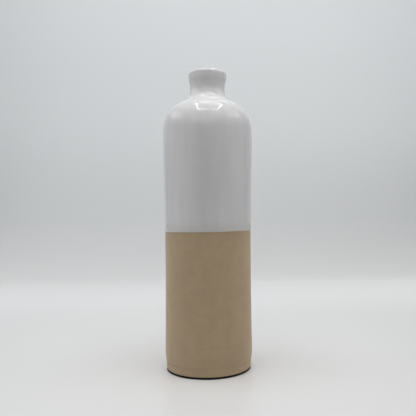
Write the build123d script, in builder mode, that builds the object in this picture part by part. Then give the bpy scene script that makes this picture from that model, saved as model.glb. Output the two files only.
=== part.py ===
from build123d import *
from math import acos, asin, cos, degrees, sin
import os

# A tall stoneware bottle vase: bare clay below, dipped in white glaze above, on a thin rubber foot.
# Sizes are in millimetres. The vase stands on z = 0 with its axis on Z. Each section is drawn with
# the radius along the sketch's X and the height along its Y, and is turned about the axis.

# Rubber foot, a die-cut disc glued under the base
foot_pad_thickness = 2.0
foot_pad_inset = 0.3
foot_pad_chamfer = 0.3

# Base, a clay slab that closes the bottle and shows as a narrow band under a scored groove
base_thickness = 7.5
base_setback = 0.5
base_draft = 0.2
base_foot_round = 0.9
groove_round = 0.8
floor_thickness = 5.0

# Wall, drawn in a little at the waist and tucked in at the groove
wall_height = 206.5
waist_radius = 43.2
waist_height = 85.5
lower_bow_radius = 5000.0
upper_bow_radius = 5400.0
tuck_height = 10.0
tuck_radius = 40.0
tuck_edge_round = 1.0
wall_thickness = 4.4
seam_bevel_rise = 4.0

# Shoulder, a haunch that swells to the widest place, a dome that closes in and a sweep up to the neck
haunch_height = 25.1
haunch_radius = 480.0
dome_radius = 30.8
neck_sweep_radius = 7.4
throat_round = 1.8

# Neck, a collar set on the shoulder, which steps out to a thick rolled lip
neck_height = 22.85
neck_radius = 17.4
neck_thickness = 4.8
lip_overhang = 1.85
lip_lean = 0.45
lip_band_height = 8.6
lip_step_height = 3.6
neck_step_round = 6.0
lip_step_round = 4.5
lip_round_share = 0.4
mouth_round_share = 0.5
lip_crown_share = 0.55

# Glaze, a dipped coat outside that starts at the dip line and a poured lining inside
glaze_thickness = 0.4
dip_line_height = 138.3
dip_edge_round_share = 0.75

# Levels from the table up
base_bottom = foot_pad_thickness
floor_top = base_bottom + floor_thickness
base_top = base_bottom + base_thickness
tuck_top = base_top + tuck_height
wall_top = base_top + wall_height
seam_inner_top = wall_top + seam_bevel_rise
haunch_top = wall_top + haunch_height

# Radii that follow the waist and the neck
base_radius = waist_radius - base_setback
bore_radius = waist_radius - wall_thickness
throat_radius = neck_radius - neck_thickness
lip_radius = neck_radius + lip_overhang


def lean_at(height, centre, radius):
    """Angle from upright, at a height, of an arc centred outside, positive where it opens upwards."""
    return asin((height - centre[1]) / radius)


def inward(point, lean, distance):
    """Point square to a line of the given lean, inside it by a distance."""
    return (point[0] - distance * cos(lean), point[1] + distance * sin(lean))


# The wall's outer line is two arcs with their centres far outside: one level with the waist, and a
# flatter one that runs on from it above the dip line
lower_centre = (waist_radius + lower_bow_radius, base_top + waist_height)
tuck_lean = lean_at(tuck_top, lower_centre, lower_bow_radius)
tuck_point = inward(lower_centre, tuck_lean, lower_bow_radius)
dip_lean = lean_at(dip_line_height, lower_centre, lower_bow_radius)
dip_point = inward(lower_centre, dip_lean, lower_bow_radius)
upper_centre = inward(dip_point, dip_lean, -upper_bow_radius)
seam_lean = lean_at(wall_top, upper_centre, upper_bow_radius)
seam_point = inward(upper_centre, seam_lean, upper_bow_radius)

# The tuck, the haunch and the dome run on from their neighbours without a corner
tuck_centre = inward(tuck_point, tuck_lean, tuck_radius)
tuck_turn = asin((tuck_centre[1] - base_top) / tuck_radius)
tuck_foot = (tuck_centre[0] + tuck_radius * cos(tuck_turn), base_top)
haunch_centre = inward(seam_point, seam_lean, haunch_radius)
haunch_turn = asin((haunch_top - haunch_centre[1]) / haunch_radius)
dome_centre = inward(haunch_centre, -haunch_turn, dome_radius - haunch_radius)

# The sweep leaves the dome without a corner and stands upright where the neck is set on it
sweep_centre_radius = neck_radius + neck_sweep_radius
sweep_reach = dome_radius + neck_sweep_radius
sweep_turn = acos((sweep_centre_radius - dome_centre[0]) / sweep_reach)
neck_seat = dome_centre[1] + sweep_reach * sin(sweep_turn)

# The hollow: a cove at the floor, an upright bore, a vault under the dome and a rounded throat edge
cove_radius = base_top - floor_top
vault_radius = bore_radius - dome_centre[0]
throat_edge_radius = throat_radius + throat_round
throat_edge_reach = vault_radius + throat_round
vault_turn = acos((throat_edge_radius - dome_centre[0]) / throat_edge_reach)
throat_edge_centre = (throat_edge_radius, dome_centre[1] + throat_edge_reach * sin(vault_turn))

# The lip: its outer and inner corners are rounded, and the two glazes meet on its crown
lip_top = neck_seat + neck_height
lip_band_bottom = lip_top - lip_band_height
lip_width = lip_radius - throat_radius
lip_crown = (throat_radius + lip_crown_share * lip_width, lip_top)
neck_corners = [
    (neck_radius, neck_seat),
    (neck_radius, lip_band_bottom - lip_step_height),
    (lip_radius - lip_lean, lip_band_bottom),
    (lip_radius, lip_top),
    lip_crown,
]
neck_rounds = [neck_step_round, lip_step_round, lip_round_share * lip_width]


def draw_lower_wall_line():
    """The wall's bare face, from the tuck up to the dip line."""
    CenterArc(lower_centre, lower_bow_radius, 180 - degrees(tuck_lean), degrees(tuck_lean - dip_lean))


def draw_upper_wall_line():
    """The wall's glazed face, from the dip line up to the seam with the shoulder."""
    CenterArc(upper_centre, upper_bow_radius, 180 - degrees(dip_lean), degrees(dip_lean - seam_lean))


def draw_shoulder_line():
    """The haunch, the dome and the sweep, from the seam up to the foot of the neck."""
    CenterArc(haunch_centre, haunch_radius, -degrees(seam_lean), degrees(seam_lean + haunch_turn))
    CenterArc(dome_centre, dome_radius, degrees(haunch_turn), degrees(sweep_turn - haunch_turn))
    sweep_centre = (sweep_centre_radius, neck_seat)
    CenterArc(sweep_centre, neck_sweep_radius, 180 + degrees(sweep_turn), -degrees(sweep_turn))


def draw_neck_line():
    """The neck's outside, from its foot over the step and the lip to the crown."""
    FilletPolyline(*neck_corners, radius=neck_rounds)


def draw_throat_line(to_height):
    """The inside of the lip, from the crown down the throat to a height."""
    mouth_corner = (throat_radius, lip_top)
    throat_end = (throat_radius, to_height)
    FilletPolyline(lip_crown, mouth_corner, throat_end, radius=[mouth_round_share * lip_width])


def draw_vault_line():
    """The rounded lower edge of the throat and the underside of the dome, out to the bore."""
    CenterArc(throat_edge_centre, throat_round, 180, degrees(vault_turn))
    CenterArc(dome_centre, vault_radius, degrees(vault_turn), -degrees(vault_turn))


def draw_floor_line():
    """The cove at the foot of the bore and the floor, in to the axis."""
    CenterArc((bore_radius - cove_radius, base_top), cove_radius, 0, -90)
    Line((bore_radius - cove_radius, floor_top), (0, floor_top))


# Rubber foot
with BuildPart() as foot_pad:
    with BuildSketch():
        Circle(base_radius - base_draft - foot_pad_inset)
    extrude(amount=foot_pad_thickness)
    chamfer(foot_pad.edges().group_by(Axis.Z)[0], foot_pad_chamfer)

# Base slab, dished inside so that the floor runs up into the wall
with BuildPart() as base_slab:
    with BuildSketch(Plane.XZ):
        with BuildLine():
            draw_floor_line()
            FilletPolyline(
                (0, floor_top),
                (0, base_bottom),
                (base_radius - base_draft, base_bottom),
                (base_radius, base_top),
                (bore_radius, base_top),
                radius=[0, base_foot_round, groove_round],
            )
        make_face()
    revolve(axis=Axis.Z)

# Wall, seated on the slab, with its upper edge bevelled for the shoulder
with BuildPart() as body_wall:
    with BuildSketch(Plane.XZ) as wall_section:
        with BuildLine():
            CenterArc(tuck_centre, tuck_radius, -degrees(tuck_turn), degrees(tuck_turn - tuck_lean))
            draw_lower_wall_line()
            draw_upper_wall_line()
            Polyline(
                seam_point,
                (bore_radius, seam_inner_top),
                (bore_radius, base_top),
                tuck_foot,
            )
        make_face()
        fillet(wall_section.vertices().sort_by_distance(tuck_foot)[0], tuck_edge_round)
    revolve(axis=Axis.Z)

# Shoulder, bevelled to the wall below and cut flat on top for the neck
with BuildPart() as shoulder:
    with BuildSketch(Plane.XZ):
        with BuildLine():
            draw_shoulder_line()
            Polyline(
                (neck_radius, neck_seat),
                (throat_radius, neck_seat),
                (throat_radius, throat_edge_centre[1]),
            )
            draw_vault_line()
            Polyline(
                (bore_radius, dome_centre[1]),
                (bore_radius, seam_inner_top),
                seam_point,
            )
        make_face()
    revolve(axis=Axis.Z)

# Neck collar with its rolled lip
with BuildPart() as neck_collar:
    with BuildSketch(Plane.XZ):
        with BuildLine():
            draw_neck_line()
            draw_throat_line(neck_seat)
            Line((throat_radius, neck_seat), (neck_radius, neck_seat))
        make_face()
    revolve(axis=Axis.Z)

# Dipped coat, laid on the clay from the dip line to the crown of the lip
with BuildPart() as outer_glaze:
    with BuildSketch(Plane.XZ) as coat_section:
        with BuildLine():
            draw_upper_wall_line()
            draw_shoulder_line()
            draw_neck_line()
            offset(amount=glaze_thickness, side=Side.RIGHT)
        make_face()
        dip_edge = inward(dip_point, dip_lean, -glaze_thickness)
        fillet(coat_section.vertices().sort_by_distance(dip_edge)[0], dip_edge_round_share * glaze_thickness)
    revolve(axis=Axis.Z)

# Poured lining, from the crown of the lip down over the whole inside
with BuildPart() as inner_glaze:
    with BuildSketch(Plane.XZ):
        with BuildLine():
            draw_throat_line(throat_edge_centre[1])
            draw_vault_line()
            Line((bore_radius, dome_centre[1]), (bore_radius, base_top))
            draw_floor_line()
            offset(amount=glaze_thickness, side=Side.RIGHT)
        make_face()
    revolve(axis=Axis.Z)

pieces = {
    "foot_pad": foot_pad,
    "base_slab": base_slab,
    "body_wall": body_wall,
    "shoulder": shoulder,
    "neck_collar": neck_collar,
    "outer_glaze": outer_glaze,
    "inner_glaze": inner_glaze,
}
os.makedirs("parts", exist_ok=True)
for name, piece in pieces.items():
    piece.part.label = name
    export_step(piece.part, f"parts/{name}.step")
    print(name, round(piece.part.volume), "mm3")
coat_size = outer_glaze.part.bounding_box().size
print("widest", round(coat_size.X, 3), "height", round(lip_top + glaze_thickness, 3))
throat_ends = (throat_edge_centre[1], lip_top - mouth_round_share * lip_width)
print("straight throat from", round(throat_ends[0], 3), "to", round(throat_ends[1], 3))
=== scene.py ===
# %% [markdown]
# # A stoneware bottle vase, half dipped in white glaze
# A potter turns this bottle from buff stoneware: a slab, a waisted wall, a domed shoulder and a collar
# with a rolled lip. The upper part is dipped in white glaze, the inside is lined with it, and a thin
# rubber disc goes under the foot. The CAD frame holds those seven pieces at their real size.
# This lesson gives them their looks: surfaces that are turned again more finely, with the small
# unevenness of hand work, and materials made of nodes.

import math

import bmesh
import bpy
from mathutils import Matrix, Vector


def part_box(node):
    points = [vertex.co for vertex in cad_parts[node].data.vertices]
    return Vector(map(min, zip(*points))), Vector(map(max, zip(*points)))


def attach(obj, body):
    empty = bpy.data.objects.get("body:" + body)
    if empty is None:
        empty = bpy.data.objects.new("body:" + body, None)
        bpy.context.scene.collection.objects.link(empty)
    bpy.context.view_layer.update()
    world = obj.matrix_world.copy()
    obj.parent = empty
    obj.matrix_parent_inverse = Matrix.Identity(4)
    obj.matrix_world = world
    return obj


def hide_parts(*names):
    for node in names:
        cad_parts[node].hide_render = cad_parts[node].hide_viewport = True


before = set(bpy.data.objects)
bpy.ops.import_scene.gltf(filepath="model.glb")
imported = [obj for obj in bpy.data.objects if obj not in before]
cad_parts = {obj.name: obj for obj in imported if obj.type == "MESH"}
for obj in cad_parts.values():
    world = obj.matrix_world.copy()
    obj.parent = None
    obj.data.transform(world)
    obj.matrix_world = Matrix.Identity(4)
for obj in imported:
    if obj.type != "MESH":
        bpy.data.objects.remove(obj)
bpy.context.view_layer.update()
print("CAD nodes:", ", ".join(sorted(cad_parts)))

# %% [markdown]
# ## Heights from the frame
# Blender works in metres and a potter thinks in millimetres, so sizes here are millimetres and `MM`
# turns them into metres at the last step. The heights where the pieces meet are read from the frame,
# because the looks have to sit exactly on the CAD pieces.

# %% Read the heights where the pieces meet
MM = 0.001


def height(node, end):
    """Height in mm of a CAD node's lowest (0) or highest (1) corner."""
    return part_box(node)[end].z / MM


base_bottom = height("base_slab", 0)
base_top = height("base_slab", 1)
floor_top = height("inner_glaze", 0)
wall_top = height("shoulder", 0)
seam_inner_top = height("body_wall", 1)
dip_line = height("outer_glaze", 0)
neck_seat = height("neck_collar", 0)
lip_top = height("neck_collar", 1)
glaze_thickness = height("outer_glaze", 1) - lip_top
print("dip line", round(dip_line, 2), "lip", round(lip_top, 2), "glaze", round(glaze_thickness, 2))

# %% [markdown]
# ## The outline
# The whole bottle follows one rule: an outline that is turned about the upright axis. The outline is
# a few arcs that run into each other, with rounded corners at the collar. It could be read off the
# CAD mesh, but that is cut into flat facets. Drawing it again from its arcs keeps it smooth, and lets
# each stretch have as many points as it needs.

# %% Arcs and rounded corners
def arc(centre, radius, start, end, step):
    """Points on an arc between two angles in radians, about a step apart."""
    count = max(2, math.ceil(abs(end - start) * radius / step))
    angles = [start + (end - start) * i / count for i in range(count + 1)]
    return [Vector((centre[0] + radius * math.cos(a), centre[1] + radius * math.sin(a))) for a in angles]


def rounded(corners, radii, step):
    """A line through corners, with each inner corner rounded to its radius."""
    corners = [Vector(corner) for corner in corners]
    line = [corners[0]]
    for before, corner, after, radius in zip(corners, corners[1:], corners[2:], radii):
        back = (before - corner).normalized()
        on = (after - corner).normalized()
        half = back.angle(on) / 2
        centre = corner + (back + on).normalized() * radius / math.sin(half)
        first = corner + back * radius / math.tan(half) - centre
        last = corner + on * radius / math.tan(half) - centre
        start = math.atan2(first.y, first.x)
        turn = (math.atan2(last.y, last.x) - start + math.pi) % math.tau - math.pi
        line += arc(centre, radius, start, start + turn, step)
    return line + [corners[-1]]


print("a quarter circle of 10 mm in steps of 4:", len(arc((0, 0), 10, 0, math.pi / 2, step=4)), "points")

# %% Finer steps and offsets
def stepped(line, step):
    """The same line, with points added where two are more than a step apart."""
    fine = [line[0]]
    for first, last in zip(line, line[1:]):
        count = max(1, math.ceil((last - first).length / step))
        fine += [first.lerp(last, (i + 1) / count) for i in range(count)]
    return fine


def moved_out(line, depth_at):
    """The line moved square to itself, to the right of its direction, by a depth for each height."""
    moved = []
    for i, point in enumerate(line):
        along = (line[min(i + 1, len(line) - 1)] - line[max(i - 1, 0)]).normalized()
        moved.append(point + depth_at(point.y) * Vector((along.y, -along.x)))
    return moved


print("10 mm in steps of 4:", len(stepped([Vector((0, 0)), Vector((0, 10))], step=4)), "points")

# %% [markdown]
# ## Wall, shoulder and neck
# On the real bottle the wall is drawn in a little at the waist and tucked in at the groove, then it
# swells to a haunch, a dome closes it, and a hollow sweep runs up to the neck. Each arc starts in the
# direction in which the last one ended, so that light runs over the joins without a break.

# %% Draw the clay's outer line
waist_radius = 43.2
waist_rise = 85.5
lower_bow_radius = 5000.0
upper_bow_radius = 5400.0
tuck_height = 10.0
tuck_radius = 40.0
tuck_edge_round = 1.0
haunch_height = 25.1
haunch_radius = 480.0
dome_radius = 30.8


def inward(point, lean, distance):
    """Point inside a line of the given lean from upright, by a distance."""
    return Vector((point[0] - distance * math.cos(lean), point[1] + distance * math.sin(lean)))


lower_centre = Vector((waist_radius + lower_bow_radius, base_top + waist_rise))
tuck_lean = math.asin((base_top + tuck_height - lower_centre.y) / lower_bow_radius)
dip_lean = math.asin((dip_line - lower_centre.y) / lower_bow_radius)
tuck_centre = inward(lower_centre, tuck_lean, lower_bow_radius + tuck_radius)
upper_centre = inward(lower_centre, dip_lean, lower_bow_radius - upper_bow_radius)
seam_lean = math.asin((wall_top - upper_centre.y) / upper_bow_radius)
haunch_centre = inward(upper_centre, seam_lean, upper_bow_radius + haunch_radius)
haunch_turn = math.asin((wall_top + haunch_height - haunch_centre.y) / haunch_radius)
dome_centre = inward(haunch_centre, -haunch_turn, dome_radius - haunch_radius)
print("dome centre", [round(value, 3) for value in dome_centre])

# %% Draw the neck and lip
neck_radius = 17.4
neck_sweep_radius = 7.4
throat_radius = 12.6
lip_radius = 19.25
lip_lean = 0.45
lip_band_height = 8.6
lip_step_height = 3.6
neck_step_round = 6.0
lip_step_round = 4.5
lip_round_share = 0.4
lip_crown_share = 0.55
lip_band_bottom = lip_top - lip_band_height
neck_step_bottom = lip_band_bottom - lip_step_height
lip_width = lip_radius - throat_radius
crown = Vector((throat_radius + lip_crown_share * lip_width, lip_top))
neck_corners = [
    (neck_radius, neck_seat),
    (neck_radius, neck_step_bottom),
    (lip_radius - lip_lean, lip_band_bottom),
    (lip_radius, lip_top),
    crown,
]
neck_rounds = [neck_step_round, lip_step_round, lip_round_share * lip_width]
neck_line = stepped(rounded(neck_corners, neck_rounds, step=0.5), step=1.5)
sweep_centre = Vector((neck_radius + neck_sweep_radius, neck_seat))
sweep_turn = math.acos((sweep_centre.x - dome_centre.x) / (dome_radius + neck_sweep_radius))
print("neck line", len(neck_line), "points, dome turns", round(math.degrees(sweep_turn), 1), "degrees")

# %% [markdown]
# ## Helpers for colours and nodes
# Colours are written as they look on a screen. Light adds up in linear values, so one function turns
# a hex colour to linear. Another adds a node with its settings and links, which keeps every material
# and every node tree readable as a list. Two short ones start a material, and turn a size in
# millimetres into a pattern's scale.

# %% Colour and node helpers
def linear(hex_colour):
    """An sRGB hex colour as linear red, green, blue and full opacity."""
    values = [int(hex_colour[i:i + 2], 16) / 255 for i in (1, 3, 5)]
    return [v / 12.92 if v <= 0.04045 else ((v + 0.055) / 1.055) ** 2.4 for v in values] + [1.0]


def add_node(tree, kind, settings=None, inputs=None):
    """Adds a node. Settings are its properties. An input is a value, or another node's output to link."""
    node = tree.nodes.new(kind)
    for name, value in (settings or {}).items():
        setattr(node, name, value)
    for socket, value in (inputs or {}).items():
        if isinstance(value, bpy.types.NodeSocket):
            tree.links.new(value, node.inputs[socket])
        else:
            node.inputs[socket].default_value = value
    return node


def start_material(name):
    """A new material, its tree, its main shader and the piece's own coordinates."""
    material = bpy.data.materials.new(name)
    material.use_nodes = True
    tree = material.node_tree
    place = add_node(tree, "ShaderNodeTexCoord").outputs["Object"]
    return material, tree, tree.nodes["Principled BSDF"], place


def per_metre(size_mm):
    """Scale of a pattern whose features are that many millimetres across."""
    return 1 / (size_mm * MM)


print("buff clay in linear light:", [round(value, 3) for value in linear("#BFA98A")])

# %% [markdown]
# ## Bare stoneware
# The lower part is fired clay with no glaze: matt, buff, with a fine sandy grain, a little iron that
# burns to brown specks, and faint lines where the rib smoothed it on the wheel. A photograph of clay
# could be wrapped round it. Noise in the clay's own coordinates has no seam and no stretched places,
# and its grain can be set in millimetres.

# %% Stoneware: the colour of the clay
stoneware, tree, shader, place = start_material("bare_buff_stoneware")
mottle_mm = 14.0
grain_mm = 0.9  # real grain is near 0.4 mm, drawn coarser so that it shows at this size
mottle = add_node(tree, "ShaderNodeTexNoise", inputs={
    "Vector": place, "Scale": per_metre(mottle_mm), "Detail": 3.0, "Roughness": 0.6})
mottle_colour = add_node(tree, "ShaderNodeValToRGB", inputs={0: mottle.outputs[0]})
mottle_colour.color_ramp.elements[0].position = 0.36
mottle_colour.color_ramp.elements[0].color = linear("#BFA98A")
mottle_colour.color_ramp.elements[1].position = 0.66
mottle_colour.color_ramp.elements[1].color = linear("#C6B090")
grain = add_node(tree, "ShaderNodeTexNoise", inputs={
    "Vector": place, "Scale": per_metre(grain_mm), "Detail": 2.0, "Roughness": 0.7})
grain_tone = add_node(tree, "ShaderNodeMapRange", inputs={
    0: grain.outputs[0], 1: 0.3, 2: 0.7, 3: 0.94, 4: 1.05})
grainy = add_node(tree, "ShaderNodeVectorMath", {"operation": "SCALE"}, {
    0: mottle_colour.outputs[0], "Scale": grain_tone.outputs[0]})
print("stoneware mottle", mottle_mm, "mm and grain", grain_mm, "mm")

# %% Stoneware: a few faint iron specks
speck_spacing_mm = 3.4
speck_share_of_cells = 0.22
specks = add_node(tree, "ShaderNodeTexVoronoi", inputs={
    "Vector": place, "Scale": per_metre(speck_spacing_mm)})
speck_edge = add_node(tree, "ShaderNodeMapRange", inputs={
    0: specks.outputs["Distance"], 1: 0.06, 2: 0.16, 3: 0.35, 4: 0.0})
speck_draw = add_node(tree, "ShaderNodeSeparateColor", inputs={0: specks.outputs["Color"]})
speck_drawn = add_node(tree, "ShaderNodeMath", {"operation": "LESS_THAN"}, {
    0: speck_draw.outputs[0], 1: speck_share_of_cells})
speck_here = add_node(tree, "ShaderNodeMath", {"operation": "MULTIPLY"}, {
    0: speck_edge.outputs[0], 1: speck_drawn.outputs[0]})
specked = add_node(tree, "ShaderNodeMix", {"data_type": "RGBA"}, {
    0: speck_here.outputs[0], 6: grainy.outputs[0], 7: linear("#8E7150")})
print("stoneware specks in", speck_share_of_cells, "of the cells of", speck_spacing_mm, "mm")

# %% Stoneware: rib lines, and a darker ring under the glaze
rib_mm = 2.2
rib_stretch = 0.04
darker_ring_mm = 7.0
rib_place = add_node(tree, "ShaderNodeMapping", inputs={
    "Vector": place, "Scale": (rib_stretch, rib_stretch, 1.0)})
rib_lines = add_node(tree, "ShaderNodeTexNoise", inputs={
    "Vector": rib_place.outputs[0], "Scale": per_metre(rib_mm), "Detail": 2.0})
rib_tone = add_node(tree, "ShaderNodeMapRange", inputs={
    0: rib_lines.outputs[0], 1: 0.3, 2: 0.7, 3: 0.988, 4: 1.012})
ribbed = add_node(tree, "ShaderNodeVectorMath", {"operation": "SCALE"}, {
    0: specked.outputs[2], "Scale": rib_tone.outputs[0]})
clay_height = add_node(tree, "ShaderNodeSeparateXYZ", inputs={0: place}).outputs[2]
# The clay's colour is made 5 % darker towards the dip line, over a ring just under it.
darker = add_node(tree, "ShaderNodeMapRange", {"interpolation_type": "SMOOTHSTEP"}, {
    0: clay_height, 1: (dip_line - darker_ring_mm) * MM, 2: dip_line * MM, 3: 1.0, 4: 0.95})
clay_colour = add_node(tree, "ShaderNodeVectorMath", {"operation": "SCALE"}, {
    0: ribbed.outputs[0], "Scale": darker.outputs[0]})
tree.links.new(clay_colour.outputs[0], shader.inputs["Base Color"])
print("rib lines", rib_mm, "mm, damp ring", darker_ring_mm, "mm deep")

# %% Stoneware: a dry, grainy surface
rib_depth_mm = 0.008
grain_depth_mm = 0.05
shader.inputs["IOR"].default_value = 1.5
shader.inputs["Specular IOR Level"].default_value = 0.5
shader.inputs["Diffuse Roughness"].default_value = 1.0
shader.inputs["Sheen Weight"].default_value = 0.2
shader.inputs["Sheen Roughness"].default_value = 0.5
dryness = add_node(tree, "ShaderNodeMapRange", inputs={
    0: mottle.outputs[0], 1: 0.3, 2: 0.7, 3: 0.76, 4: 0.9})
tree.links.new(dryness.outputs[0], shader.inputs["Roughness"])
rib_bump = add_node(tree, "ShaderNodeBump", inputs={
    "Height": rib_lines.outputs[0], "Distance": rib_depth_mm * MM, "Strength": 1.0})
grain_bump = add_node(tree, "ShaderNodeBump", inputs={
    "Height": grain.outputs[0], "Distance": grain_depth_mm * MM, "Strength": 1.0,
    "Normal": rib_bump.outputs[0]})
tree.links.new(grain_bump.outputs[0], shader.inputs["Normal"])
print("made", stoneware.name)

# %% [markdown]
# ## White glaze
# The glaze is a skin of white glass, about 0.4 mm thick. It is opaque, very smooth and glossy, with
# faint streaks where it ran down, the slow ripple of a dipped coat and a trace of orange peel. Where it
# is thin above the dip line, the warm clay shows through a little. The edge of the lip is greyed in the
# same way, partly for thin glaze and partly as painted shade that dims the lip. The collar is painted a
# shade darker, as painted shade under the lip. A plain glossy white would give ruler-straight
# reflections. The ripple is what makes them look poured.

# %% Glaze: white with faint streaks
glaze, tree, shader, place = start_material("glossy_white_stoneware_glaze")
streak_mm = 9.0
streak_stretch = 0.12
streak_place = add_node(tree, "ShaderNodeMapping", inputs={
    "Vector": place, "Scale": (1.0, 1.0, streak_stretch)})
streaks = add_node(tree, "ShaderNodeTexNoise", inputs={
    "Vector": streak_place.outputs[0], "Scale": per_metre(streak_mm), "Detail": 2.0})
streak_colour = add_node(tree, "ShaderNodeValToRGB", inputs={0: streaks.outputs[0]})
streak_colour.color_ramp.elements[0].position = 0.35
streak_colour.color_ramp.elements[0].color = linear("#D2D2D3")
streak_colour.color_ramp.elements[1].position = 0.65
streak_colour.color_ramp.elements[1].color = linear("#D6D6D7")
print("glaze streaks", streak_mm, "mm wide and", round(streak_mm / streak_stretch), "mm long")

# %% Glaze: thin places, and painted shade on the lip and the collar
thin_dip_mm = 12.0
thin_dip_share = 0.5
lip_thin_and_shade_mm = 1.2
lip_thin_and_shade_share = 0.45
collar_shade_fade_mm = 6.0
collar_shade_share = 0.91
glaze_height = add_node(tree, "ShaderNodeSeparateXYZ", inputs={0: place}).outputs[2]
thin_at_dip = add_node(tree, "ShaderNodeMapRange", {"interpolation_type": "SMOOTHSTEP"}, {
    0: glaze_height, 1: dip_line * MM, 2: (dip_line + thin_dip_mm) * MM, 3: thin_dip_share, 4: 0.0})
# Partly thin glaze on the lip's edge, partly painted shade that dims the lip.
lip_thin_and_painted_shade = add_node(tree, "ShaderNodeMapRange", {"interpolation_type": "SMOOTHSTEP"}, {
    0: glaze_height, 1: (lip_top - lip_thin_and_shade_mm) * MM, 2: lip_top * MM, 3: 0.0, 4: lip_thin_and_shade_share})
thin_glaze_and_lip_shade = add_node(tree, "ShaderNodeMath", {"operation": "MAXIMUM"}, {
    0: thin_at_dip.outputs[0], 1: lip_thin_and_painted_shade.outputs[0]})
glaze_colour = add_node(tree, "ShaderNodeMix", {"data_type": "RGBA"}, {
    0: thin_glaze_and_lip_shade.outputs[0], 6: streak_colour.outputs[0], 7: linear("#C4C0B9")})
# Painted shade: the collar's colour is darkened, standing for the shade that the lip casts on it.
collar_painted_shade = add_node(tree, "ShaderNodeMapRange", {"interpolation_type": "SMOOTHSTEP"}, {
    0: glaze_height, 1: neck_seat * MM, 2: (neck_seat + collar_shade_fade_mm) * MM, 3: 1.0, 4: collar_shade_share})
glaze_colour_with_painted_shade = add_node(tree, "ShaderNodeVectorMath", {"operation": "SCALE"}, {
    0: glaze_colour.outputs[2], "Scale": collar_painted_shade.outputs[0]})
tree.links.new(glaze_colour_with_painted_shade.outputs[0], shader.inputs["Base Color"])
print("glaze thins over the last", thin_dip_mm, "mm at the dip line")

# %% Glaze: gloss, ripple and orange peel
ripple_mm = 24.0
ripple_depth_mm = 0.012
peel_mm = 1.6
peel_depth_mm = 0.002
shader.inputs["IOR"].default_value = 1.52
gloss = add_node(tree, "ShaderNodeMapRange", inputs={
    0: streaks.outputs[0], 1: 0.3, 2: 0.7, 3: 0.015, 4: 0.035})
tree.links.new(gloss.outputs[0], shader.inputs["Roughness"])
ripple = add_node(tree, "ShaderNodeTexNoise", inputs={
    "Vector": place, "Scale": per_metre(ripple_mm), "Detail": 0.0})
peel = add_node(tree, "ShaderNodeTexNoise", inputs={
    "Vector": place, "Scale": per_metre(peel_mm), "Detail": 1.0})
ripple_bump = add_node(tree, "ShaderNodeBump", inputs={
    "Height": ripple.outputs[0], "Distance": ripple_depth_mm * MM, "Strength": 1.0})
peel_bump = add_node(tree, "ShaderNodeBump", inputs={
    "Height": peel.outputs[0], "Distance": peel_depth_mm * MM, "Strength": 1.0,
    "Normal": ripple_bump.outputs[0]})
tree.links.new(peel_bump.outputs[0], shader.inputs["Normal"])
print("made", glaze.name, "with ripple", ripple_mm, "mm and peel", peel_mm, "mm")

# %% [markdown]
# ## Foot rubber
# The disc under the foot is soft black rubber, die-cut from sheet. It is never quite black: a fine
# talc bloom makes it slightly grey and dull, and the sheet has a fine pebbled skin.

# %% Rubber: colour and skin
rubber, tree, shader, place = start_material("black_sheet_rubber")
bloom_mm = 9.0
pebble_mm = 0.7
pebble_depth_mm = 0.04
bloom = add_node(tree, "ShaderNodeTexNoise", inputs={
    "Vector": place, "Scale": per_metre(bloom_mm), "Detail": 3.0})
bloom_colour = add_node(tree, "ShaderNodeValToRGB", inputs={0: bloom.outputs[0]})
bloom_colour.color_ramp.elements[0].position = 0.35
bloom_colour.color_ramp.elements[0].color = linear("#130C06")
bloom_colour.color_ramp.elements[1].position = 0.7
bloom_colour.color_ramp.elements[1].color = linear("#1F160D")
tree.links.new(bloom_colour.outputs[0], shader.inputs["Base Color"])
dull = add_node(tree, "ShaderNodeMapRange", inputs={
    0: bloom.outputs[0], 1: 0.3, 2: 0.7, 3: 0.6, 4: 0.8})
tree.links.new(dull.outputs[0], shader.inputs["Roughness"])
shader.inputs["Specular IOR Level"].default_value = 0.2
pebble = add_node(tree, "ShaderNodeTexVoronoi", inputs={
    "Vector": place, "Scale": per_metre(pebble_mm)})
pebble_bump = add_node(tree, "ShaderNodeBump", inputs={
    "Height": pebble.outputs["Distance"], "Distance": pebble_depth_mm * MM, "Strength": 1.0})
tree.links.new(pebble_bump.outputs[0], shader.inputs["Normal"])
print("made", rubber.name)

# %% [markdown]
# ## The wheel: a node tree that turns an outline
# Every piece of the bottle is an outline turned about the axis, so one Geometry Nodes tree makes all
# that can be seen. The Screw modifier or a spin in mesh code could do it too. A node tree can also lay
# the same unevenness over all of them, with named inputs to try by hand.
# Curve to Mesh sweeps the outline round a small circle. On such a circle the outline's Y points down,
# so the tree turns it over first, and shifts it so that its zero lies on the axis.

# %% Wheel: inputs and the sweep
wheel = bpy.data.node_groups.new("turned_on_the_wheel", "GeometryNodeTree")
wheel_inputs = {}
for label, kind in [
    ("Outline", "NodeSocketGeometry"), ("Steps Round", "NodeSocketInt"), ("Seed", "NodeSocketFloat"),
    ("Wobble", "NodeSocketFloat"), ("Wobble Span", "NodeSocketFloat"), ("Lip Lift", "NodeSocketFloat"),
    ("Edge Height", "NodeSocketFloat"), ("Edge Reach", "NodeSocketFloat"),
    ("Edge Span", "NodeSocketFloat"), ("Edge Wave", "NodeSocketFloat"), ("Edge Tilt", "NodeSocketFloat"),
    ("Edge Fill", "NodeSocketFloat"), ("Fill Radius", "NodeSocketFloat"),
    ("Smear Direction", "NodeSocketVector"), ("Finish", "NodeSocketMaterial"),
]:
    socket = wheel.interface.new_socket(label, in_out="INPUT", socket_type=kind)
    wheel_inputs[label] = socket.identifier
wheel.interface.new_socket("Turned Piece", in_out="OUTPUT", socket_type="NodeSocketGeometry")
given = add_node(wheel, "NodeGroupInput").outputs
path_radius = 1.0 * MM
merge_distance = 0.001 * MM
circle = add_node(wheel, "GeometryNodeCurvePrimitiveCircle", inputs={
    "Resolution": given["Steps Round"], "Radius": path_radius})
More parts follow.
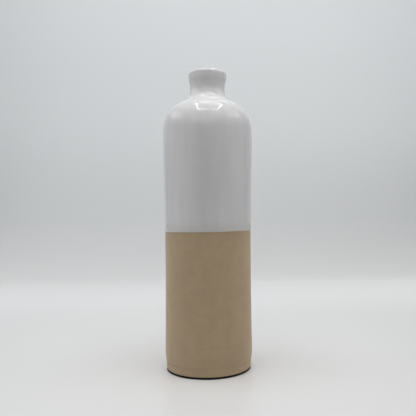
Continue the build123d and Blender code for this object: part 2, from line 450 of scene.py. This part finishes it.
turned_over = add_node(wheel, "GeometryNodeTransform", inputs={
    "Geometry": given["Outline"], "Translation": (-path_radius, 0, 0), "Scale": (1, -1, 1)})
sweep = add_node(wheel, "GeometryNodeCurveToMesh", inputs={
    "Curve": circle.outputs[0], "Profile Curve": turned_over.outputs[0]})
closed = add_node(wheel, "GeometryNodeMergeByDistance", inputs={
    "Geometry": sweep.outputs[0], "Distance": merge_distance})
print("the wheel has", len(wheel_inputs), "inputs")

# %% Wheel: how far round, how far out and how high a point is
position = add_node(wheel, "GeometryNodeInputPosition").outputs[0]
flat = add_node(wheel, "ShaderNodeVectorMath", {"operation": "MULTIPLY"}, {
    0: position, 1: (1, 1, 0)}).outputs[0]
outwards = add_node(wheel, "ShaderNodeVectorMath", {"operation": "NORMALIZE"}, {0: flat}).outputs[0]
from_axis = add_node(wheel, "ShaderNodeVectorMath", {"operation": "LENGTH"}, {0: flat}).outputs["Value"]
around = add_node(wheel, "ShaderNodeVectorMath", {"operation": "SCALE"}, {
    0: outwards, "Scale": waist_radius * MM}).outputs[0]
level = add_node(wheel, "ShaderNodeSeparateXYZ", inputs={0: position}).outputs[2]
raised = add_node(wheel, "ShaderNodeCombineXYZ", inputs={2: level}).outputs[0]
on_wall = add_node(wheel, "ShaderNodeVectorMath", inputs={0: around, 1: raised}).outputs[0]
print("unevenness is measured on a cylinder of", waist_radius, "mm")

# %% [markdown]
# ## Hand-made unevenness
# A turned pot is never quite round, its lip rises and falls a little, a dipped edge wanders, and a
# scored groove is smeared shut in places. Three smooth noises drive all that. The same rule moves the
# clay and its coats, so that they stay in touch.

# %% Wheel: three smooth noises from -1 to 1
uneven = {}
for label, span, where, seed_step in [
    ("wobble", "Wobble Span", on_wall, 0.0),
    ("lip", "Wobble Span", around, 5.0),
    ("edge", "Edge Span", around, 9.0),
]:
    fineness = add_node(wheel, "ShaderNodeMath", {"operation": "DIVIDE"}, {0: 1.0, 1: given[span]})
    seed = add_node(wheel, "ShaderNodeMath", inputs={0: given["Seed"], 1: seed_step})
    noise = add_node(wheel, "ShaderNodeTexNoise", {"noise_dimensions": "4D"}, {
        "Vector": where, "W": seed.outputs[0], "Scale": fineness.outputs[0], "Detail": 1.0})
    both_ways = add_node(wheel, "ShaderNodeMapRange", inputs={
        0: noise.outputs[0], 1: 0.25, 2: 0.75, 3: -1.0, 4: 1.0})
    uneven[label] = both_ways.outputs[0]
print("noises:", ", ".join(uneven))

# %% Wheel: the lip and the edge go up and down
lip_share = add_node(wheel, "ShaderNodeMapRange", {"interpolation_type": "SMOOTHSTEP"}, {
    0: level, 1: neck_step_bottom * MM, 2: lip_top * MM})
lip_wave = add_node(wheel, "ShaderNodeMath", {"operation": "MULTIPLY"}, {
    0: uneven["lip"], 1: given["Lip Lift"]})
lip_rise = add_node(wheel, "ShaderNodeMath", {"operation": "MULTIPLY"}, {
    0: lip_wave.outputs[0], 1: lip_share.outputs[0]})
above_edge = add_node(wheel, "ShaderNodeMath", {"operation": "SUBTRACT"}, {
    0: level, 1: given["Edge Height"]})
from_edge = add_node(wheel, "ShaderNodeMath", {"operation": "ABSOLUTE"}, {0: above_edge.outputs[0]})
edge_share = add_node(wheel, "ShaderNodeMapRange", {"interpolation_type": "SMOOTHSTEP"}, {
    0: from_edge.outputs[0], 1: 0.0, 2: given["Edge Reach"], 3: 1.0, 4: 0.0}).outputs[0]
sideways = add_node(wheel, "ShaderNodeSeparateXYZ", inputs={0: outwards}).outputs[0]
edge_wave = add_node(wheel, "ShaderNodeMath", {"operation": "MULTIPLY"}, {
    0: uneven["edge"], 1: given["Edge Wave"]})
edge_line = add_node(wheel, "ShaderNodeMath", {"operation": "MULTIPLY_ADD"}, {
    0: sideways, 1: given["Edge Tilt"], 2: edge_wave.outputs[0]})
rise = add_node(wheel, "ShaderNodeMath", {"operation": "MULTIPLY_ADD"}, {
    0: edge_line.outputs[0], 1: edge_share, 2: lip_rise.outputs[0]})
up_by = add_node(wheel, "ShaderNodeCombineXYZ", inputs={2: rise.outputs[0]})
print("the wheel has", len(wheel.nodes), "nodes so far")

# %% Wheel: the wall wobbles and the groove fills
# A filled place moves out to the fill radius, but only in the rim, not far inside the clay.
groove_depth = 1.2
least_fill = 0.2
smear_reach = (math.cos(math.radians(34)), math.cos(math.radians(12)))
rim_inside = add_node(wheel, "ShaderNodeMath", {"operation": "SUBTRACT"}, {
    0: given["Fill Radius"], 1: from_axis}).outputs[0]
rim_depth = add_node(wheel, "ShaderNodeMapRange", inputs={
    0: rim_inside, 1: 0.0, 2: groove_depth * MM, 3: 0.0, 4: groove_depth * MM})
rim_share = add_node(wheel, "ShaderNodeMapRange", inputs={
    0: rim_inside, 1: groove_depth * MM, 2: 2 * groove_depth * MM, 3: 1.0, 4: 0.0})
smear_near = add_node(wheel, "ShaderNodeVectorMath", {"operation": "DOT_PRODUCT"}, {
    0: outwards, 1: given["Smear Direction"]}).outputs["Value"]
smear = add_node(wheel, "ShaderNodeMapRange", {"interpolation_type": "SMOOTHSTEP"}, {
    0: smear_near, 1: smear_reach[0], 2: smear_reach[1]})
chance = add_node(wheel, "ShaderNodeMapRange", inputs={
    0: uneven["edge"], 1: -0.3, 2: 1.3, 3: least_fill, 4: 1.0})
filled = add_node(wheel, "ShaderNodeMath", {"operation": "MAXIMUM"}, {
    0: smear.outputs[0], 1: chance.outputs[0]}).outputs[0]
fill = filled
for share in (given["Edge Fill"], edge_share, rim_share.outputs[0], rim_depth.outputs[0]):
    fill = add_node(wheel, "ShaderNodeMath", {"operation": "MULTIPLY"}, {0: fill, 1: share}).outputs[0]
swell = add_node(wheel, "ShaderNodeMath", {"operation": "MULTIPLY_ADD"}, {
    0: uneven["wobble"], 1: given["Wobble"], 2: fill})
out_by = add_node(wheel, "ShaderNodeVectorMath", {"operation": "SCALE"}, {
    0: outwards, "Scale": swell.outputs[0]})
print("a groove fills to at most", groove_depth, "mm")

# %% Wheel: the finished mesh
move = add_node(wheel, "ShaderNodeVectorMath", inputs={0: out_by.outputs[0], 1: up_by.outputs[0]})
moved = add_node(wheel, "GeometryNodeSetPosition", inputs={
    "Geometry": closed.outputs[0], "Offset": move.outputs[0]})
smooth = add_node(wheel, "GeometryNodeSetShadeSmooth", inputs={"Geometry": moved.outputs[0]})
plain = add_node(wheel, "GeometryNodeRealizeInstances", inputs={"Geometry": smooth.outputs[0]})
dressed = add_node(wheel, "GeometryNodeSetMaterial", inputs={
    "Geometry": plain.outputs[0], "Material": given["Finish"]})
add_node(wheel, "NodeGroupOutput", inputs={0: dressed.outputs[0]})
print("the wheel has", len(wheel.nodes), "nodes")

# %% [markdown]
# ## From an outline to a piece
# The outline goes to the tree as a curve of straight steps. The result is taken out as a plain mesh, and
# the curve and its modifier are thrown away, because only plain meshes can be handed on. A sweep can come
# out with its faces inwards, so they are turned outwards before the mesh becomes a piece.

# %% Turn an outline into a mesh
wheel_settings = {
    "Steps Round": 256, "Seed": 3.0, "Wobble": 0.12 * MM, "Wobble Span": 45.0 * MM,
    "Lip Lift": 0.2 * MM, "Edge Height": 0.0, "Edge Reach": 1.0 * MM, "Edge Span": 14.0 * MM,
    "Edge Wave": 0.0, "Edge Tilt": 0.0, "Edge Fill": 0.0, "Fill Radius": waist_radius * MM,
    "Smear Direction": (0.0, -1.0, 0.0),
}


def into_scene(name, data):
    """A new object that holds a mesh, curve, lamp or camera, linked to the scene."""
    thing = bpy.data.objects.new(name, data)
    bpy.context.scene.collection.objects.link(thing)
    return thing


def turned_mesh(name, outline, closed_section, settings):
    """A plain mesh that the wheel turns from an outline in millimetres."""
    curve = bpy.data.curves.new(name + "_outline", "CURVE")
    curve.dimensions = "3D"
    spline = curve.splines.new("POLY")
    spline.points.add(len(outline) - 1)
    for point, corner in zip(spline.points, outline):
        point.co = (corner[0] * MM, corner[1] * MM, 0, 1)
    spline.use_cyclic_u = closed_section
    pattern = into_scene(name + "_outline", curve)
    modifier = pattern.modifiers.new("wheel", "NODES")
    modifier.node_group = wheel
    for label, value in settings.items():
        modifier[wheel_inputs[label]] = value
    bpy.context.view_layer.update()
    ready = pattern.evaluated_get(bpy.context.evaluated_depsgraph_get())
    mesh = bpy.data.meshes.new_from_object(ready)
    bpy.data.objects.remove(pattern)
    return mesh


print("pieces are turned in", wheel_settings["Steps Round"], "steps")

# %% Turn a mesh into a piece
sharp_angle = math.radians(35)


def turn_piece(name, outline, closed_section, node, finish, changes):
    """Turns an outline into a piece, which stands for a CAD node and rides on the root body."""
    mesh = turned_mesh(name, outline, closed_section, {**wheel_settings, **changes, "Finish": finish})
    shell = bmesh.new()
    shell.from_mesh(mesh)
    bmesh.ops.recalc_face_normals(shell, faces=shell.faces)
    volume = shell.calc_volume(signed=True)
    open_edges = sum(not edge.is_manifold for edge in shell.edges)
    shell.to_mesh(mesh)
    shell.free()
    mesh.set_sharp_from_angle(angle=sharp_angle)
    piece = into_scene(name, mesh)
    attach(piece, "root")
    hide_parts(node)
    print(name, len(mesh.polygons), "faces", round(volume / MM**3), "mm3", open_edges, "open edges")


print("edges sharper than", round(math.degrees(sharp_angle)), "degrees stay sharp")

# %% [markdown]
# ## Rubber foot
# A plain disc, set in a little from the edge of the clay, with a small chamfer where the die cut it.
# Its outline starts and ends on the axis, and the tree merges the points there into one.

# %% Turn the rubber foot
foot_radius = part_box("foot_pad")[1].x / MM
foot_chamfer = 0.3
foot_corners = [
    (0, 0),
    (foot_radius - foot_chamfer, 0),
    (foot_radius, foot_chamfer),
    (foot_radius, base_bottom),
    (0, base_bottom),
]
foot_outline = stepped([Vector(corner) for corner in foot_corners], step=3.0)
turn_piece("rubber_foot_disc", foot_outline, False, "foot_pad", rubber, {})

# %% [markdown]
# ## Base slab and the groove
# The slab closes the bottle, and its rim shows as a narrow band. Above it the potter scored a groove
# to mark the join and smeared clay over parts of it. The two rounded rims make the groove. The fill
# takes its depth away here and there, the same in both pieces, most of all in one smear near the front.

# %% Turn the base slab
base_radius = 42.7
base_draft = 0.2
slab_rounds = [0.9, 0.8]
bore_radius = 38.8
cove_radius = base_top - floor_top
fill_setback = 0.05
smear_angle = math.radians(-71)
groove = {
    "Edge Height": base_top * MM, "Edge Reach": 2.4 * MM, "Edge Span": 11.0 * MM, "Edge Fill": 0.9,
    "Fill Radius": (base_radius - fill_setback) * MM,
    "Smear Direction": (math.cos(smear_angle), math.sin(smear_angle), 0.0),
}
slab_corners = [
    (0, base_bottom),
    (base_radius - base_draft, base_bottom),
    (base_radius, base_top),
    (bore_radius, base_top),
]
slab_rim = rounded(slab_corners, slab_rounds, step=0.12)
slab_cove = arc((bore_radius - cove_radius, base_top), cove_radius, 0, -math.pi / 2, step=0.4)
slab_outline = stepped(slab_rim + slab_cove + [Vector((0, floor_top))], step=3.0)
turn_piece("base_slab_clay", slab_outline, False, "base_slab", stoneware, groove)

# %% [markdown]
# ## Waisted wall
# The wall is the bare clay that shows, and it runs on behind the glaze to the bevelled seam with the
# shoulder. Its section is a closed ring, so the piece is a real thick wall and not a skin.

# %% Turn the wall
foot_round_height = base_top + tuck_edge_round
foot_round_reach = tuck_radius - tuck_edge_round
foot_turn = math.asin((foot_round_height - tuck_centre.y) / foot_round_reach)
foot_round_centre = Vector((tuck_centre.x + foot_round_reach * math.cos(foot_turn), foot_round_height))
wall_outline = arc(foot_round_centre, tuck_edge_round, -math.pi / 2, foot_turn, step=0.12)
wall_outline += arc(tuck_centre, tuck_radius, foot_turn, -tuck_lean, step=0.8)[1:]
wall_outline += arc(lower_centre, lower_bow_radius, math.pi - tuck_lean, math.pi - dip_lean, step=2.0)[1:]
upper_wall = arc(upper_centre, upper_bow_radius, math.pi - dip_lean, math.pi - seam_lean, step=2.0)
bore = [Vector((bore_radius, seam_inner_top)), Vector((bore_radius, base_top))]
wall_outline = stepped(wall_outline + upper_wall[1:] + bore + wall_outline[:1], step=8.0)[:-1]
turn_piece("waisted_clay_wall", wall_outline, True, "body_wall", stoneware, groove)

# %% [markdown]
# ## Dipped glaze
# The coat follows the clay at its thickness and thins out to a rounded edge at the dip line. Moving
# each point of the clay's line square to it gives the coat. A Solidify modifier would do nearly the
# same, but with one thickness all over and no rounded edge.

# %% Draw the clay under the coat
edge_depth_share = 0.5
thickening_mm = 22.0


def coat_depth(level_mm):
    """Depth of the dipped coat at a height: thin at the dip line, whole some way above it."""
    risen = min((level_mm - dip_line) / thickening_mm, 1.0)
    return glaze_thickness * (edge_depth_share + (1 - edge_depth_share) * risen)


clay_side = upper_wall + arc(haunch_centre, haunch_radius, -seam_lean, haunch_turn, step=1.5)[1:]
clay_side += arc(dome_centre, dome_radius, haunch_turn, sweep_turn, step=0.7)[1:]
clay_side += arc(sweep_centre, neck_sweep_radius, math.pi + sweep_turn, math.pi, step=0.4)[1:]
clay_side += neck_line[1:]
print("coat of", len(clay_side), "points,", round(coat_depth(dip_line), 2), "mm deep at the dip line")

# %% [markdown]
# ## How wet glaze evens out
# Wet glaze draws off the crests and gathers in the hollows, most of all at the foot of the neck. So
# each point of the coat moves to the middle of what lies near it. The near counts more than the far,
# because a hard limit would leave small kinks, and gloss shows every one.

# %% How far the coat evens out
evening_mm = 5.0
foot_evening_mm = 4.7
wall_fade_mm = 10
fade_mm = 8
crown_kept_mm = 3
foot_start_mm = 15


def evening_reach(level_mm):
    """How far the coat evens out at a height: not on wall or crown, most at the neck's foot."""
    above_wall = (level_mm - wall_top) / wall_fade_mm
    under_crown = (lip_top - crown_kept_mm - level_mm) / fade_mm
    above_dome = (level_mm - neck_seat + foot_start_mm) / fade_mm
    under_step = (neck_step_bottom - level_mm) / fade_mm
    all_over = evening_mm * max(0.0, min(1.0, above_wall, under_crown))
    return all_over + foot_evening_mm * max(0.0, min(1.0, above_dome, under_step))


print("the coat evens out over", evening_reach(neck_seat), "mm at the neck's foot")

# %% Let the coat even out the form
evening_step_mm = 0.25
least_reach_mm = 0.01


def evened(line, reach_at):
    """The line with each point moved to the middle of what lies within its reach."""
    fine = stepped(line, evening_step_mm)
    even = []
    for point in line:
        reach = max(reach_at(point.y), least_reach_mm)
        pulls = [max(0.0, 1 - ((other - point).length / reach) ** 2) for other in fine]
        middle = sum((pull * other for pull, other in zip(pulls, fine)), Vector((0.0, 0.0))) / sum(pulls)
        even.append(middle)
    return even


dipped_side = moved_out(clay_side, coat_depth)
coat_side = evened(dipped_side, evening_reach)
evened_by = max((after - before).length for after, before in zip(coat_side, dipped_side))
print("the coat moves by up to", round(evened_by, 2), "mm")

# %% Turn the dipped glaze
dip_edge_round_share = 0.75
dip_edge_round = dip_edge_round_share * coat_depth(dip_line)
dip_edge = rounded([clay_side[0], coat_side[0], coat_side[1]], [dip_edge_round], step=0.04)
coat_outline = dip_edge + coat_side[2:] + clay_side[:0:-1]
turn_piece("dipped_white_glaze", coat_outline, True, "outer_glaze", glaze, {
    "Edge Height": dip_line * MM, "Edge Reach": 4.0 * MM, "Edge Span": 9.0 * MM,
    "Edge Wave": 0.1 * MM, "Edge Tilt": 0.5 * MM})

# %% [markdown]
# ## Poured lining
# Glaze poured in and out again leaves the same white skin inside, from the crown of the lip down to
# the floor. Little of it shows, but the mouth is open to view from above.

# %% Turn the lining
throat_round = 1.8
mouth_round = lip_width / 2
vault_radius = bore_radius - dome_centre.x
vault_reach = vault_radius + throat_round
throat_edge_x = throat_radius + throat_round
vault_turn = math.acos((throat_edge_x - dome_centre.x) / vault_reach)
throat_edge = Vector((throat_edge_x, dome_centre.y + vault_reach * math.sin(vault_turn)))
mouth_centre = Vector((throat_radius + mouth_round, lip_top - mouth_round))
cove_centre = (bore_radius - cove_radius, base_top)


def inside_line(coat_depth_mm):
    """The line of the hollow under a coat of that depth, from the crown of the lip to the axis."""
    line = [crown + Vector((0, coat_depth_mm))]
    line += arc(mouth_centre, mouth_round + coat_depth_mm, math.pi / 2, math.pi, step=0.4)
    line += arc(throat_edge, throat_round + coat_depth_mm, math.pi, math.pi + vault_turn, step=0.5)
    line += arc(dome_centre, vault_radius - coat_depth_mm, vault_turn, 0, step=1.5)[1:]
    line += arc(cove_centre, cove_radius - coat_depth_mm, 0, -math.pi / 2, step=0.5)
    return stepped(line + [Vector((0, floor_top + coat_depth_mm))], step=6.0)


lining_outline = inside_line(0)[::-1] + inside_line(glaze_thickness)
turn_piece("poured_white_lining", lining_outline, False, "inner_glaze", glaze, {})

# %% [markdown]
# ## Clay under the glaze
# The shoulder and the collar are clay as well, wholly covered by the two coats. Their CAD meshes are
# right as they are, so they only get the stoneware.

# %% Dress the covered clay
for covered in ("shoulder", "neck_collar"):
    covered_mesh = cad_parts[covered].data
    covered_mesh.materials.clear()
    covered_mesh.materials.append(stoneware)
    print(covered, "is", covered_mesh.materials[0].name)

# %% [markdown]
# ## Floor and backdrop
# A sheet of coated white paper lies on the table and curves up behind the vase, so that no corner
# shows. The cove is one arc between two straight stretches. Where the paper lies flat it is satin and
# mirrors the foot faintly. Where it curves up it is dull, and painted a little cooler and greyer, as
# painted shade. The sheet is large, so its sizes are metres.

# %% Lay the sheet
sheet_front = -3.0
cove_start = 0.62
cove_bend = 0.3
sheet_top = 3.0
sheet_half_width = 4.0
sheet_line = [Vector((sheet_front, 0))]
sheet_line += arc((cove_start, cove_bend), cove_bend, -math.pi / 2, 0, step=0.02)
sheet_line += [Vector((cove_start + cove_bend, sheet_top))]
sheet_points = [(x, p.x, p.y) for p in sheet_line for x in (-sheet_half_width, sheet_half_width)]
sheet_faces = [(i, i + 1, i + 3, i + 2) for i in range(0, len(sheet_points) - 2, 2)]
sheet_mesh = bpy.data.meshes.new("paper_sweep")
sheet_mesh.from_pydata(sheet_points, [], sheet_faces)
sheet_mesh.shade_smooth()
sheet = into_scene("paper_sweep", sheet_mesh)
print("sheet with", len(sheet_faces), "strips")

# %% Paper: satin on the floor, dull at the back
satin_ends_at = 0.03
floor_roughness = 0.25
back_roughness = 0.9
paper, tree, shader, place = start_material("white_paper")
sheet_place = add_node(tree, "ShaderNodeSeparateXYZ", inputs={0: place}).outputs
# Painted shade: the rising part of the sheet is coloured a little cooler and greyer than the floor.
sheet_colour_and_painted_shade = add_node(tree, "ShaderNodeValToRGB", inputs={0: sheet_place[2]})
sheet_colour_and_painted_shade.color_ramp.elements[0].position = 0.0
sheet_colour_and_painted_shade.color_ramp.elements[0].color = linear("#EFEFEF")
sheet_colour_and_painted_shade.color_ramp.elements[1].position = 0.14
sheet_colour_and_painted_shade.color_ramp.elements[1].color = linear("#E4E7E9")
tree.links.new(sheet_colour_and_painted_shade.outputs[0], shader.inputs["Base Color"])
shader.inputs["Specular IOR Level"].default_value = 0.22
sheet_dullness = add_node(tree, "ShaderNodeMapRange", inputs={
    0: sheet_place[2], 1: 0.0, 2: satin_ends_at, 3: floor_roughness, 4: back_roughness})
tree.links.new(sheet_dullness.outputs[0], shader.inputs["Roughness"])
sheet_mesh.materials.append(paper)
print("made", paper.name)

# %% [markdown]
# ## Bands of brightness on the paper
# Paper in a light tent is lit in bands, by cloth and lamps that stand out of the picture. More lamps
# would also change the light on the vase, so the paper gets a faint glow of its own. A curve gives its
# strength along the sheet, and it grows a little to the right. The Light Path node shows it to the
# camera and to reflections only, so it lights nothing.

# %% Paper: the glow's strength along the sheet
# A place is metres back along the floor plus metres up the back.
glow_levels = [
    (-0.2, 0.045), (0.2, 0.06), (0.45, 0.14), (0.62, 0.115),
    (0.73, 0.055), (1.03, 0.04), (1.4, 0.145), (1.8, 0.08),
]
glow_span = (glow_levels[0][0], glow_levels[-1][0])
along = add_node(tree, "ShaderNodeMath", inputs={0: sheet_place[1], 1: sheet_place[2]})
along_share = add_node(tree, "ShaderNodeMapRange", inputs={
    0: along.outputs[0], 1: glow_span[0], 2: glow_span[1]})
glow = add_node(tree, "ShaderNodeFloatCurve", inputs={1: along_share.outputs[0]})
glow_points = [((at - glow_span[0]) / (glow_span[1] - glow_span[0]), level) for at, level in glow_levels]
glow_curve = glow.mapping.curves[0]
glow_curve.points[0].location = glow_points[0]
glow_curve.points[1].location = glow_points[-1]
for glow_at, glow_level in glow_points[1:-1]:
    glow_curve.points.new(glow_at, glow_level)
glow.mapping.update()
print("the paper's glow is at most", max(level for _, level in glow_levels))

# %% Paper: the glow that the camera and reflections see
lean_span = (-0.5, 0.3)
lean_shares = (0.78, 1.12)
glow_lean = add_node(tree, "ShaderNodeMapRange", inputs={
    0: sheet_place[0], 1: lean_span[0], 2: lean_span[1], 3: lean_shares[0], 4: lean_shares[1]})
glow_here = add_node(tree, "ShaderNodeMath", {"operation": "MULTIPLY"}, {
    0: glow.outputs[0], 1: glow_lean.outputs[0]})
looks = add_node(tree, "ShaderNodeLightPath").outputs
seen = add_node(tree, "ShaderNodeMath", {"use_clamp": True}, {
    0: looks["Is Camera Ray"], 1: looks["Is Glossy Ray"]})
seen_glow = add_node(tree, "ShaderNodeMath", {"operation": "MULTIPLY"}, {
    0: glow_here.outputs[0], 1: seen.outputs[0]})
shader.inputs["Emission Color"].default_value = linear("#F8FCFF")
tree.links.new(seen_glow.outputs[0], shader.inputs["Emission Strength"])
print("the glow grows to the right from", lean_shares[0], "to", lean_shares[1])

# %% [markdown]
# ## The light tent
# The vase stands in a light tent, and the world is that tent. Its cloth glows on all sides but the open
# front, where the camera looks in. In reflections the ceiling is brighter than the walls, and the flap
# over the opening is the brightest. The Light Path node keeps soft light and reflections apart, and
# gives the camera a plain pale room where it looks past the sheet.

# %% Tent: the cloth
walls_level = 0.4
walls_seen = 0.42
ceiling_seen = 0.7
flap_seen = 1.6
ceiling_rise = (math.sin(math.radians(10)), math.sin(math.radians(22)))
flap_reach = (0.55, 0.95)
front_lean = -0.139
front = Vector((front_lean, -1.0, 0.0)).normalized()
world = bpy.data.worlds.new("light_tent")
bpy.context.scene.world = world
world.use_nodes = True
tree = world.node_tree
tree.nodes.clear()
towards = add_node(tree, "ShaderNodeTexCoord").outputs["Generated"]
upward = add_node(tree, "ShaderNodeSeparateXYZ", inputs={0: towards}).outputs[2]
forward = add_node(tree, "ShaderNodeVectorMath", {"operation": "DOT_PRODUCT"}, {
    0: towards, 1: front}).outputs["Value"]
ceiling = add_node(tree, "ShaderNodeMapRange", inputs={
    0: forward, 1: flap_reach[0], 2: flap_reach[1], 3: ceiling_seen, 4: flap_seen})
seen_cloth = add_node(tree, "ShaderNodeMapRange", {"interpolation_type": "SMOOTHSTEP"}, {
    0: upward, 1: ceiling_rise[0], 2: ceiling_rise[1], 3: walls_seen, 4: ceiling.outputs[0]})
looks = add_node(tree, "ShaderNodeLightPath").outputs
cloth = add_node(tree, "ShaderNodeMix", inputs={
    0: looks["Is Glossy Ray"], 2: walls_level, 3: seen_cloth.outputs[0]})
print("tent walls", walls_level, "and in reflections", walls_seen, "to", flap_seen)

# %% Tent: the opening, and a pale room for the camera
opening_level = 0.03
opening_rim = (math.cos(math.radians(33)), math.cos(math.radians(30)))
opening_top = (math.sin(math.radians(12)), math.sin(math.radians(18)))
room_seen = 0.62
in_front = add_node(tree, "ShaderNodeMapRange", {"interpolation_type": "SMOOTHSTEP"}, {
    0: forward, 1: opening_rim[0], 2: opening_rim[1]})
under_flap = add_node(tree, "ShaderNodeMapRange", {"interpolation_type": "SMOOTHSTEP"}, {
    0: upward, 1: opening_top[0], 2: opening_top[1], 3: 1.0, 4: 0.0})
opening = add_node(tree, "ShaderNodeMath", {"operation": "MULTIPLY"}, {
    0: in_front.outputs[0], 1: under_flap.outputs[0]})
tent_level = add_node(tree, "ShaderNodeMix", inputs={
    0: opening.outputs[0], 2: cloth.outputs[0], 3: opening_level})
room = add_node(tree, "ShaderNodeMix", inputs={
    0: looks["Is Camera Ray"], 2: tent_level.outputs[0], 3: room_seen})
tent = add_node(tree, "ShaderNodeBackground", inputs={0: linear("#FFFFFF"), 1: room.outputs[0]})
add_node(tree, "ShaderNodeOutputWorld", inputs={0: tent.outputs[0]})
bpy.context.scene.view_settings.view_transform = "Standard"
print("tent opening", opening_level, "and room", room_seen)

# %% [markdown]
# ## Soft lamps
# Two big soft walls light the sides of the vase, two small glows leave the pale patches on its
# shoulder, and a wash lights the back of the sheet. Lamps are hidden from the camera. The walls are
# hidden from reflections too, because the cloth of the tent already shows there.

# %% Hang the soft lamps
def aim_lamp(name, watts, place_mm, target_mm, size_mm):
    """A rectangular lamp at a place, turned to a target and hidden from the camera."""
    data = bpy.data.lights.new(name, "AREA")
    data.energy = watts
    data.shape = "RECTANGLE"
    data.size = size_mm[0] * MM
    data.size_y = size_mm[1] * MM
    lamp = into_scene(name, data)
    lamp.location = Vector(place_mm) * MM
    lamp.rotation_euler = (Vector(target_mm) - Vector(place_mm)).to_track_quat("-Z", "Y").to_euler()
    lamp.visible_camera = False
    return lamp


left_wall = aim_lamp("left_wall", 2.05, (-800, 150, 190), (0, 0, 150), (900, 700))
right_wall = aim_lamp("right_wall", 1.12, (800, 150, 190), (0, 0, 150), (900, 700))
left_wall.visible_glossy = False
right_wall.visible_glossy = False
right_wall.data.color = linear("#FFFBED")[:3]
aim_lamp("left_glow", 0.13, (-366, 50, 468), (-38, -20, 250), (300, 105))
aim_lamp("right_glow", 0.13, (344, -68, 491), (26, -35, 250), (300, 105))
aim_lamp("backdrop_wash", 2.4, (0, 500, 1100), (0, 920, 700), (1600, 250))

# %% [markdown]
# ## Black flags
# Gloss on a round white wall fades into the white around it. A black flag on each side, out of the
# picture, draws a thin dark line down the gloss. Only reflections see the two flags, so they take no
# light away. Their turns are degrees from the camera round the vase, at the foot and at the head.

# %% Stand a black flag on each side
flag_away = 600
felt, _, shader, _ = start_material("black_felt")
shader.inputs["Base Color"].default_value = linear("#0A0A0A")
shader.inputs["Roughness"].default_value = 1.0
for flag_name, turns, turn_width, heights in [
    ("right_flag", (106, 112), 10, (135, 335)),
    ("left_flag", (-129, -131), 7, (110, 300)),
]:
    flag_corners = []
    for end, side in [(0, -1), (0, 1), (1, 1), (1, -1)]:
        turn = math.radians(turns[end] + side * turn_width / 2)
        corner = Vector((math.sin(turn), -math.cos(turn), heights[end] / flag_away))
        flag_corners.append(corner * flag_away * MM)
    flag_mesh = bpy.data.meshes.new(flag_name)
    flag_mesh.from_pydata(flag_corners, [], [(0, 1, 2, 3)])
    flag_mesh.materials.append(felt)
    flag = into_scene(flag_name, flag_mesh)
    flag.visible_camera = False
    flag.visible_diffuse = False
    flag.visible_shadow = False
    print(flag_name, "stands", flag_away, "mm away")

# %% [markdown]
# ## Lamp panel
# A lamp panel hangs close over the vase. Brighter strips along its edges leave their lines on the
# shoulder, and rows of small lamps run on behind it. Most of the panel's light comes from a fill that
# reflections don't show, so that the strips stand out in the gloss. Lamps in one plane would hide each
# other, so the strips hang a little lower and the fill a little higher.

# %% Hang the panel and its strips
panel_centre = Vector((10.5, -83.5, 550.0))
panel_width = 222
panel_depth = 183
panel_turn = math.radians(-4.8)
strip_width = 15
strip_drop = 5
led_rows = 7
led_row_pitch = 24
led_row_width = 5
led_row_length = 250
led_row_back = (panel_depth + led_row_length) / 2


def hang_in_panel(name, watts, across, back, below, size_mm):
    """A lamp that shines straight down, at a place measured from the panel's middle."""
    place_mm = panel_centre + Matrix.Rotation(panel_turn, 3, "Z") @ Vector((across, back, -below))
    lamp = aim_lamp(name, watts, place_mm, place_mm - Vector((0, 0, 1)), size_mm)
    lamp.rotation_euler = (0, 0, panel_turn)
    return lamp


hang_in_panel("top_panel", 0.04, 0, 0, 0, (panel_width, panel_depth))
panel_fill = hang_in_panel("panel_fill", 0.45, 0, 0, -strip_drop, (panel_width, panel_depth))
panel_fill.visible_glossy = False
hang_in_panel("left_strip", 0.1, -panel_width / 2, 0, strip_drop, (strip_width, panel_depth))
hang_in_panel("right_strip", 0.1, panel_width / 2, 0, strip_drop, (strip_width, panel_depth))
hang_in_panel("front_strip", 0.155, 0, -panel_depth / 2, strip_drop, (panel_width, strip_width))
hang_in_panel("back_strip", 0.06, 0, panel_depth / 2, strip_drop, (panel_width, strip_width))
for led_row in range(led_rows):
    across = led_row_pitch * (led_row - (led_rows - 1) / 2)
    hang_in_panel("led_row", 0.012, across, led_row_back, strip_drop, (led_row_width, led_row_length))
print("panel", panel_width, "by", panel_depth, "mm with", led_rows, "rows behind it")

# %% [markdown]
# ## Camera
# The camera stands level with the middle of the vase, about half a metre away, and looks very slightly
# up. The picture is cut from a wider one, with the lens axis a little to the right of the vase. So the
# camera is turned by that angle, and the lens shift brings the vase back to the middle. The lens is
# worked out from a focal length in pixels on a 416 pixel picture, for the usual 36 mm sensor.

# %% Set the camera
picture_width_px = 416
focal_length_px = 515
sensor_width_mm = 36
camera_place_mm = (-0.1, -525.5, 155)
axis_turn = math.radians(3.4)
look_up = math.radians(0.67)
roll = math.radians(0.42)
camera_data = bpy.data.cameras.new("camera")
camera_data.sensor_width = sensor_width_mm
camera_data.lens = sensor_width_mm * focal_length_px * math.cos(axis_turn) / picture_width_px
camera_data.shift_x = -math.sin(axis_turn) * focal_length_px / picture_width_px
camera = into_scene("camera", camera_data)
camera.location = Vector(camera_place_mm) * MM
camera.rotation_euler = (math.pi / 2 + look_up, roll, -axis_turn)
bpy.context.scene.camera = camera
print("lens", round(camera_data.lens, 2), "mm, shift", round(camera_data.shift_x, 4))
